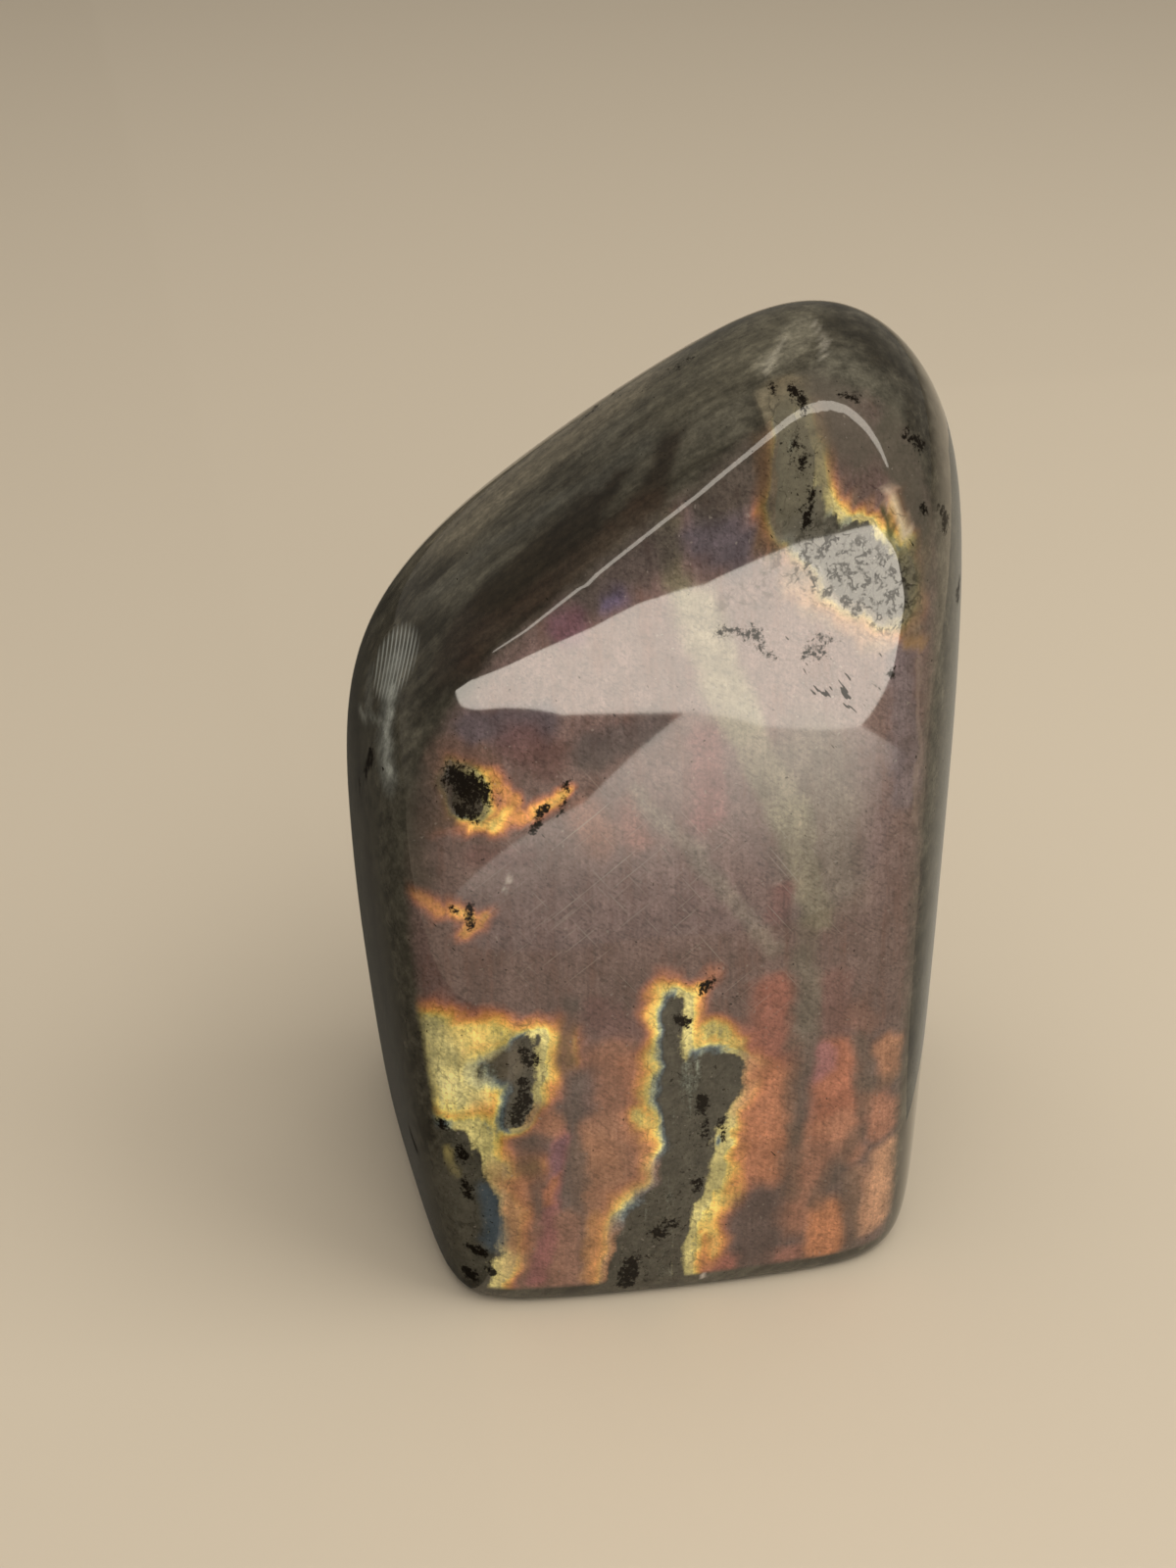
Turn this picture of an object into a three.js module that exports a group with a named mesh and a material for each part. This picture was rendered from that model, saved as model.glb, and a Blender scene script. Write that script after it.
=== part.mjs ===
// A labradorite freeform: one stone, sawn flat underneath so that it stands, ground to a few broad flats
// and polished until each flat runs into the next over a soft edge.
// Millimetres, +Z up, the show face towards -Y, origin on the base under the middle of the stone's box.
import * as THREE from "three";
import { mergeVertices } from "three/addons/utils/BufferGeometryUtils.js";

// The blank's box, which the ground stone just fits in.
const BLANK = { width: 53.7, thickness: 42.0, height: 79.0 };

// A point deep in the stone, which the reach of every flat is measured from.
const HEART = new THREE.Vector3(-0.65, 5.79, 42);

// The ground flats. turn: degrees round the stone from the front, positive to the right as seen from there.
// tilt: degrees that the flat faces above the horizon. reach: millimetres from the heart.
const SHOW_FACE = { turn: -1, tilt: 12, reach: 22.0, domeRadius: 250 };
const FLATS = {
  left: { turn: -84, tilt: -3, reach: 27.5 },
  leftFoot: { turn: -82, tilt: -22, reach: 45.4 },
  leftShoulder: { turn: -78, tilt: 33, reach: 48.5 },
  slope: { turn: -79, tilt: 54, reach: 26.6 },
  crown: { turn: -20, tilt: 61, reach: 48.5 },
  rightCrown: { turn: 68, tilt: 51, reach: 42.6 },
  right: { turn: 63, tilt: 3, reach: 27.8 },
  rightFoot: { turn: 82, tilt: -6, reach: 32.9 },
  back: { turn: 178, tilt: 4, reach: 12.6 },
  backLeft: { turn: -136, tilt: 5, reach: 29.6 },
  backRight: { turn: 136, tilt: 3, reach: 30.5 },
  backTop: { turn: -167, tilt: 40, reach: 40.3 },
};

// How far polishing softened the edges. A right-angled edge ends up with a radius of about 1.4 times this.
const SOFT_SIDES = 5.0;
const SOFT_SHOW_EDGE = 2.2;
const SOFT_BASE_EDGE = 1.3;
const BASE_CUT = 0.8; // the saw cut lies this far above the level that the base edge rounds down to

// The grid that the skin is sampled on.
const GRID = { across: 22, through: 16, up: 30 };
const SIDE_SHARE = 0.74; // share of the way from the base rim to the top that the blank's sides cover
const RIM_CROWDING = 1.35; // above 1, the rows crowd towards the rounded base edge
const HALVINGS = 40; // steps of the search for the skin along a ray
const SAME_POINT = 0.001; // corners of the grid closer than this are one corner

const POLISHED_LABRADORITE = new THREE.MeshStandardMaterial({
  color: 0x6b665a,
  roughness: 0.12,
  metalness: 0,
});

function facing({ turn, tilt }) {
  const round = THREE.MathUtils.degToRad(turn);
  const up = THREE.MathUtils.degToRad(tilt);
  return new THREE.Vector3(Math.sin(round) * Math.cos(up), -Math.cos(round) * Math.cos(up), Math.sin(up));
}

const groundFlats = Object.values(FLATS).map((flat) => ({ normal: facing(flat), reach: flat.reach }));
const domeCentre = facing(SHOW_FACE).multiplyScalar(SHOW_FACE.reach - SHOW_FACE.domeRadius);

// The largest of some heights, with the edge where two of them meet rounded off.
function softLargest(heights, softness) {
  const largest = Math.max(...heights);
  const sum = heights.reduce((total, height) => total + Math.exp((height - largest) / softness), 0);
  return largest + softness * Math.log(sum);
}

// How far a point stands out of the stone: negative inside, zero on the polished skin.
function standsOut(point) {
  const fromHeart = point.clone().sub(HEART);
  const show = fromHeart.distanceTo(domeCentre) - SHOW_FACE.domeRadius;
  const pastFlats = groundFlats.map(({ normal, reach }) => fromHeart.dot(normal) - reach);
  const sides = softLargest(pastFlats, SOFT_SIDES);
  const above = softLargest([show, sides], SOFT_SHOW_EDGE);
  return softLargest([above, -point.z - BASE_CUT], SOFT_BASE_EDGE);
}

// Where a ray that starts inside the stone comes out of its skin.
function skinAlong(start, direction) {
  let inside = 0;
  let outside = BLANK.width + BLANK.thickness + BLANK.height;
  for (let step = 0; step < HALVINGS; step += 1) {
    const middle = (inside + outside) / 2;
    if (standsOut(start.clone().addScaledVector(direction, middle)) < 0) inside = middle;
    else outside = middle;
  }
  return start.clone().addScaledVector(direction, inside);
}

const straightUp = new THREE.Vector3(0, 0, 1);
const baseMiddle = new THREE.Vector3(HEART.x, HEART.y, 0);
const halfBlank = new THREE.Vector3(BLANK.width, BLANK.thickness, BLANK.height).divideScalar(2);

// The point of the skin that one point of the blank's surface is ground down to.
// rimward is 0 in the middle of the blank's top or bottom and 1 at its sides. climb is 0 below and 1 on top.
function groundFrom(blankPoint) {
  const placed = blankPoint.clone().divide(halfBlank).clampScalar(-1, 1);
  const rimward = Math.max(Math.abs(placed.x), Math.abs(placed.y));
  const climb = (placed.z + 1) / 2;
  const heading = Math.atan2(blankPoint.y, blankPoint.x);
  const outwards = new THREE.Vector3(Math.cos(heading), Math.sin(heading), 0);
  const rim = skinAlong(baseMiddle, outwards);
  if (climb === 0) return baseMiddle.clone().lerp(rim, rimward);

  const upTheSide = SIDE_SHARE * climb ** RIM_CROWDING;
  const share = climb < 1 ? upTheSide : 1 - (1 - SIDE_SHARE) * rimward;
  const rimAngle = rim.clone().sub(HEART).angleTo(straightUp);
  const angle = rimAngle * (1 - share);
  const direction = outwards.multiplyScalar(Math.sin(angle)).setZ(Math.cos(angle));
  return skinAlong(HEART, direction);
}

function stoneGeometry() {
  const blank = new THREE.BoxGeometry(
    BLANK.width, BLANK.thickness, BLANK.height, GRID.across, GRID.through, GRID.up,
  );
  blank.deleteAttribute("normal");
  blank.deleteAttribute("uv");
  const corners = blank.getAttribute("position");
  for (let corner = 0; corner < corners.count; corner += 1) {
    const skinPoint = groundFrom(new THREE.Vector3().fromBufferAttribute(corners, corner));
    corners.setXYZ(corner, skinPoint.x, skinPoint.y, skinPoint.z);
  }
  const stone = mergeVertices(blank, SAME_POINT);
  stone.computeVertexNormals();
  return stone;
}

const stone = new THREE.Mesh(stoneGeometry(), POLISHED_LABRADORITE);
stone.name = "stone";

const freeform = new THREE.Group();
freeform.add(stone);

export default freeform;
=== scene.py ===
import math
import bpy
import mathutils
import numpy as np
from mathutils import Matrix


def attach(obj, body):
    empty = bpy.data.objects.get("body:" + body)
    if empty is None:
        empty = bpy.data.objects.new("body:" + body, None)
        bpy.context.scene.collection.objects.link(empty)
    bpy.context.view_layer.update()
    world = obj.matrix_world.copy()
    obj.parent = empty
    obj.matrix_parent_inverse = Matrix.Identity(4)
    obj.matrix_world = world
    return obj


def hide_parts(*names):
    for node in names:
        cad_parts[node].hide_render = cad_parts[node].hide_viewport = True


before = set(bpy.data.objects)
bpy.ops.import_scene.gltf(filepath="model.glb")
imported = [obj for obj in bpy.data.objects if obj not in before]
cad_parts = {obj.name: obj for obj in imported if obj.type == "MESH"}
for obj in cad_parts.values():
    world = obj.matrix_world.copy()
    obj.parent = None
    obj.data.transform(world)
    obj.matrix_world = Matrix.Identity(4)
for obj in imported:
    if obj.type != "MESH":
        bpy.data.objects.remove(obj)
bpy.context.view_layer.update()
print("frame loaded:", ", ".join(sorted(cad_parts)))

mm = 0.001

# The stone's form, in mm. A flat is (turn from the front, tilt above the horizon, reach from the heart).
stoneForm = {
    "heart": (-0.65, 5.79, 42.0),
    "showFace": (-1, 12, 22.0),
    "showDome": 250.0,  # radius that the show face is crowned to
    "flats": {
        "left": (-84, -3, 27.5),
        "leftFoot": (-82, -22, 45.4),
        "leftShoulder": (-78, 33, 48.5),
        "slope": (-79, 54, 26.6),
        "crown": (-20, 61, 48.5),
        "rightCrown": (68, 51, 42.6),
        "right": (63, 3, 27.8),
        "rightFoot": (82, -6, 32.9),
        "back": (178, 4, 12.6),
        "backLeft": (-136, 5, 29.6),
        "backRight": (136, 3, 30.5),
        "backTop": (-167, 40, 40.3),
    },
    "softSides": 5.0,  # how far polishing softened the edges
    "softShowEdge": 2.2,
    "softBaseEdge": 1.3,
    "baseCut": 0.8,
    "blank": (53.7, 42.0, 79.0),
    "cuts": (160, 40, 180),  # grid over the blank: across, through, up
    "frontCrowding": 0.15,  # above 0, the grid is finer on the show face than behind
    "sideShare": 0.74,
    "rimCrowding": 1.35,
    "halvings": 40,
    "sharpAngle": 40,
    "normalStep": 0.01,  # mm, over which the skin's slope is measured
    "waveHeight": 0.012,  # hand polishing leaves the flats very slightly wavy
    "waveLength": 17.0,
    "waves": [((1.0, 0.0, 0.6), 0.0), ((0.0, -0.5, 0.8), 1.0), ((0.9, 0.7, 0.0), 2.0)],  # direction, phase
}


def facing(turn, tilt):
    turn, tilt = math.radians(turn), math.radians(tilt)
    return np.array([math.sin(turn) * math.cos(tilt), -math.cos(turn) * math.cos(tilt), math.sin(tilt)])


heart = np.array(stoneForm["heart"])
showNormal = facing(*stoneForm["showFace"][:2])
domeCentre = showNormal * (stoneForm["showFace"][2] - stoneForm["showDome"])
flatNormals = np.array([facing(turn, tilt) for turn, tilt, reach in stoneForm["flats"].values()])
flatReaches = np.array([[reach] for turn, tilt, reach in stoneForm["flats"].values()])


def softLargest(heights, softness):
    largest = heights.max(axis=0)
    return largest + softness * np.log(np.exp((heights - largest) / softness).sum(axis=0))


def standsOut(points):  # negative inside the stone, zero on its skin
    fromHeart = points - heart
    show = np.linalg.norm(fromHeart - domeCentre, axis=1) - stoneForm["showDome"]
    sides = softLargest(flatNormals @ fromHeart.T - flatReaches, stoneForm["softSides"])
    above = softLargest(np.stack([show, sides]), stoneForm["softShowEdge"])
    base = -points[:, 2] - stoneForm["baseCut"]
    return softLargest(np.stack([above, base]), stoneForm["softBaseEdge"])


def skinNormals(points):
    steps = np.eye(3) * stoneForm["normalStep"]
    slopes = [standsOut(points + step) - standsOut(points - step) for step in steps]
    slopes = np.stack(slopes, axis=1)
    return slopes / np.linalg.norm(slopes, axis=1, keepdims=True)


def skinAlong(starts, directions):
    near = np.zeros(len(directions))
    far = np.full(len(directions), sum(stoneForm["blank"]))
    for halving in range(stoneForm["halvings"]):
        middle = (near + far) / 2
        inside = standsOut(starts + directions * middle[:, None]) < 0
        near = np.where(inside, middle, near)
        far = np.where(inside, far, middle)
    return starts + directions * near[:, None]


def blankGrid(cuts):  # a box of quads, its corners from -1 to 1
    faces = []
    for axis in range(3):
        u, v = (axis + 1) % 3, (axis + 2) % 3
        i, j = np.meshgrid(np.arange(cuts[u]), np.arange(cuts[v]), indexing="ij")
        for end in (0, cuts[axis]):
            ring = [(0, 0), (1, 0), (1, 1), (0, 1)] if end else [(0, 0), (0, 1), (1, 1), (1, 0)]
            quads = np.zeros((i.size, 4, 3), int)
            for corner, (di, dj) in enumerate(ring):
                quads[:, corner, axis] = end
                quads[:, corner, u] = (i + di).ravel()
                quads[:, corner, v] = (j + dj).ravel()
            faces.append(quads)
    spots, index = np.unique(np.concatenate(faces).reshape(-1, 3), axis=0, return_inverse=True)
    return spots / (np.array(cuts) / 2) - 1, index.reshape(-1, 4)


def groundFrom(blank):  # where each point of the blank's surface ends up on the stone
    rimward = np.abs(blank[:, :2]).max(axis=1)
    climb = (blank[:, 2] + 1) / 2
    fromFront = np.arctan2(blank[:, 0] * stoneForm["blank"][0], -blank[:, 1] * stoneForm["blank"][1])
    fromFront = fromFront - stoneForm["frontCrowding"] * np.sin(fromFront)
    outwards = np.stack([np.sin(fromFront), -np.cos(fromFront), np.zeros(len(blank))], axis=1)
    baseMiddle = np.tile(heart * (1, 1, 0), (len(blank), 1))
    rim = skinAlong(baseMiddle, outwards)
    below = baseMiddle + (rim - baseMiddle) * rimward[:, None]

    sideShare = stoneForm["sideShare"]
    upTheSide = sideShare * climb ** stoneForm["rimCrowding"]
    share = np.where(climb < 1, upTheSide, 1 - (1 - sideShare) * rimward)
    rimAngle = np.arctan2(np.linalg.norm((rim - heart)[:, :2], axis=1), (rim - heart)[:, 2])
    angle = rimAngle * (1 - share)
    directions = outwards * np.sin(angle)[:, None] + np.outer(np.cos(angle), (0, 0, 1))
    around = skinAlong(np.tile(heart, (len(blank), 1)), directions)
    return np.where((climb == 0)[:, None], below, around)


def polishWaves(points):
    turns = points * 2 * math.pi / stoneForm["waveLength"]
    wave = sum(np.sin(turns @ direction + phase) for direction, phase in stoneForm["waves"])
    fade = np.clip(points[:, 2] / stoneForm["waveLength"], 0, 1)  # the base stays flat
    return stoneForm["waveHeight"] * wave * fade


# The stone's markings, as tapered strokes in mm. Those of the show face are placed across (x) and up (z).
# Flash zones: from, to, radii at the two ends, rim, core. The level is the core inside a stroke, and it takes
# one rim to rise by 1. At 0 the stone is bare and grey, at 1 it has the mauve of the whole face.
flashZones = {
    "centreNeck": ((-2.8, 30.2), (-2.95, 25.0), (0.55, 0.8), 3.2, 0.0),
    "centreTop": ((-0.6, 23.6), (1.9, 23.7), (1.2, 1.1), 3.2, 0.0),
    "centreLeft": ((-2.1, 23.0), (-1.9, 18.0), (1.8, 1.8), 3.8, 0.0),
    "centreRight": ((1.2, 23.2), (0.5, 19.2), (1.6, 1.4), 3.6, 0.0),
    "centreWaist": ((-1.3, 17.4), (-2.2, 12.0), (1.8, 1.9), 3.8, 0.0),
    "centreFoot": ((-3.2, 10.8), (-5.1, 6.0), (1.8, 2.8), 3.6, 0.0),
    "centreEnd": ((-5.1, 6.0), (-5.3, 0.0), (2.8, 3.0), 3.4, 0.0),
    "centreSpur": ((1.4, 16.7), (1.6, 16.0), (0.3, 0.3), 1.8, 0.12),
    "hookLeft": ((-1.3, 25.9), (0.4, 27.6), (0.25, 0.5), 3.0, 0.38),
    "hookRight": ((0.4, 27.6), (2.7, 25.8), (0.5, 0.3), 3.0, 0.40),
    "neckEdge": ((-4.9, 29.6), (-4.6, 24.6), (0.35, 0.3), 3.0, 0.44),
    "neckCrown": ((-4.6, 30.2), (-1.4, 31.6), (0.3, 0.2), 2.6, 0.42),
    "elbowGlow": ((-6.4, 19.7), (-4.9, 18.5), (0.35, 0.6), 3.0, 0.40),
    "footGlow": ((-7.2, 11.4), (-5.0, 12.8), (0.5, 0.5), 3.4, 0.43),
    "blockGold": ((3.6, 23.5), (3.3, 20.4), (0.35, 0.3), 2.8, 0.43),
    "spurGold": ((2.4, 18.8), (2.0, 17.2), (0.3, 0.3), 2.6, 0.48),
    "flameTall": ((0.95, 14.2), (0.1, 8.8), (0.15, 0.55), 2.8, 0.36),
    "flameTallFoot": ((0.1, 8.8), (0.5, 4.6), (0.55, 0.3), 2.8, 0.43),
    "flameShort": ((-1.2, 8.8), (-1.5, 5.2), (0.4, 0.6), 2.8, 0.33),
    "flameShortFoot": ((-1.5, 5.0), (-2.1, 2.6), (0.5, 0.3), 2.8, 0.42),
    "leftWedge": ((-16.4, 25.8), (-18.8, 25.2), (0.9, 0.1), 4.4, 0.05),
    "leftCoreTop": ((-15.0, 28.0), (-15.3, 24.6), (0.75, 0.75), 2.4, 0.0),
    "leftCoreFoot": ((-15.3, 24.6), (-16.4, 20.2), (0.7, 0.45), 2.4, 0.0),
    "leftField": ((-22.3, 29.2), (-21.7, 22.6), (1.3, 1.3), 4.6, 0.33),
    "leftFieldTop": ((-20.5, 28.3), (-16.8, 28.6), (1.0, 0.45), 4.0, 0.38),
    "leftFieldMiddle": ((-20.5, 23.8), (-18.6, 22.8), (0.6, 0.4), 2.6, 0.40),
    "leftFieldFoot": ((-20.2, 21.6), (-18.2, 20.9), (0.8, 0.8), 3.0, 0.51),
    "leftRibbon": ((-13.1, 28.3), (-13.6, 25.0), (0.5, 0.45), 3.0, 0.42),
    "leftRibbonFoot": ((-13.6, 25.0), (-14.5, 21.6), (0.4, 0.2), 2.8, 0.40),
    "leftEmber": ((-11.2, 28.2), (-11.1, 26.0), (0.5, 0.5), 3.0, 0.56),
    "lowLeft": ((-21.6, 16.2), (-20.9, 10.5), (2.6, 2.9), 4.2, 0.0),
    "lowLeftFoot": ((-20.9, 10.5), (-21.8, 2.0), (2.9, 2.8), 4.4, 0.0),
    "highLeft": ((-19.2, 50.2), (-18.7, 48.2), (1.0, 1.0), 2.0, 0.04),
    "highFlame": ((-17.0, 51.0), (-15.4, 48.8), (0.2, 0.4), 2.0, 0.57),
    "highFlameFoot": ((-15.8, 48.1), (-16.8, 46.9), (0.4, 0.3), 1.9, 0.45),
    "highFlameNext": ((-16.0, 47.4), (-13.9, 48.0), (0.3, 0.3), 1.8, 0.56),
    "highEmber": ((-16.6, 46.9), (-18.8, 46.2), (0.3, 0.15), 1.8, 0.47),
    "highTip": ((-13.6, 48.1), (-10.9, 49.5), (0.4, 0.25), 1.9, 0.50),
    "edgeEmber": ((-23.3, 40.6), (-21.4, 39.7), (0.4, 0.45), 2.0, 0.60),
    "edgeSpot": ((-19.9, 39.9), (-18.8, 39.2), (0.4, 0.3), 1.6, 0.50),
    "edgeEmberFoot": ((-19.3, 37.9), (-17.8, 39.2), (0.3, 0.35), 1.8, 0.58),
    "crestLeft": ((7.6, 74.2), (7.6, 69.5), (1.2, 1.6), 1.9, 0.0),
    "crestMiddle": ((7.9, 68.2), (11.5, 65.8), (1.6, 2.2), 1.9, 0.0),
    "crestRight": ((12.0, 64.8), (14.4, 62.4), (2.2, 1.9), 2.4, 0.0),
    "crestSpark": ((15.5, 68.2), (16.8, 65.0), (0.3, 0.2), 1.6, 0.36),
}

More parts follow.
